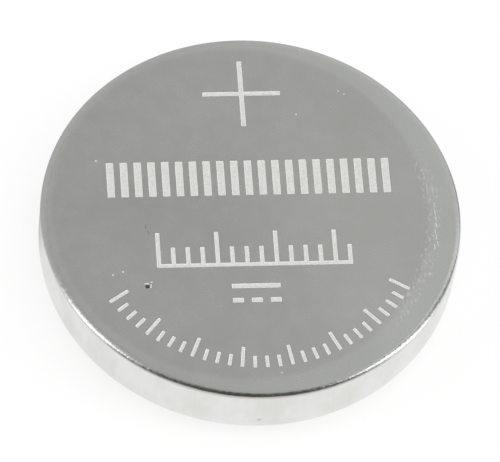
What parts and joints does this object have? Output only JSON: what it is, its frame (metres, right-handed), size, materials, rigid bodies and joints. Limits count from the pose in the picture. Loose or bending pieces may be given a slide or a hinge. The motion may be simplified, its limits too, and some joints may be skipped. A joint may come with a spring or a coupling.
{
  "type": "lithium coin cell",
  "caption": "Round lithium coin cell: a crimped steel can over a gasket and a stepped steel cap, with the electrode discs inside.",
  "frame": {"origin": "centre of the negative contact face, which the cell rests on", "axes": "+Z along the cell's axis, up through the positive contact face; the cell is round, so +X is set only by the marks on that face, whose base line lies along it"},
  "size_m": [0.0244, 0.0244, 0.005],
  "materials": {
    "can_steel": "fine satin nickel-plated stainless steel",
    "cap_steel": "satin stainless steel",
    "gasket_plastic": "moulded polypropylene",
    "lithium": "soft rolled lithium foil",
    "separator_fabric": "non-woven polypropylene",
    "cathode_mix": "pressed manganese dioxide and carbon",
    "grid_steel": "etched steel grid"
  },
  "bodies": {
    "root": {"can": "can_steel", "gasket": "gasket_plastic", "cap": "cap_steel", "lithium_disc": "lithium", "separator": "separator_fabric", "cathode_pellet": "cathode_mix", "collector_grid": "grid_steel"}
  },
  "joints": []
}
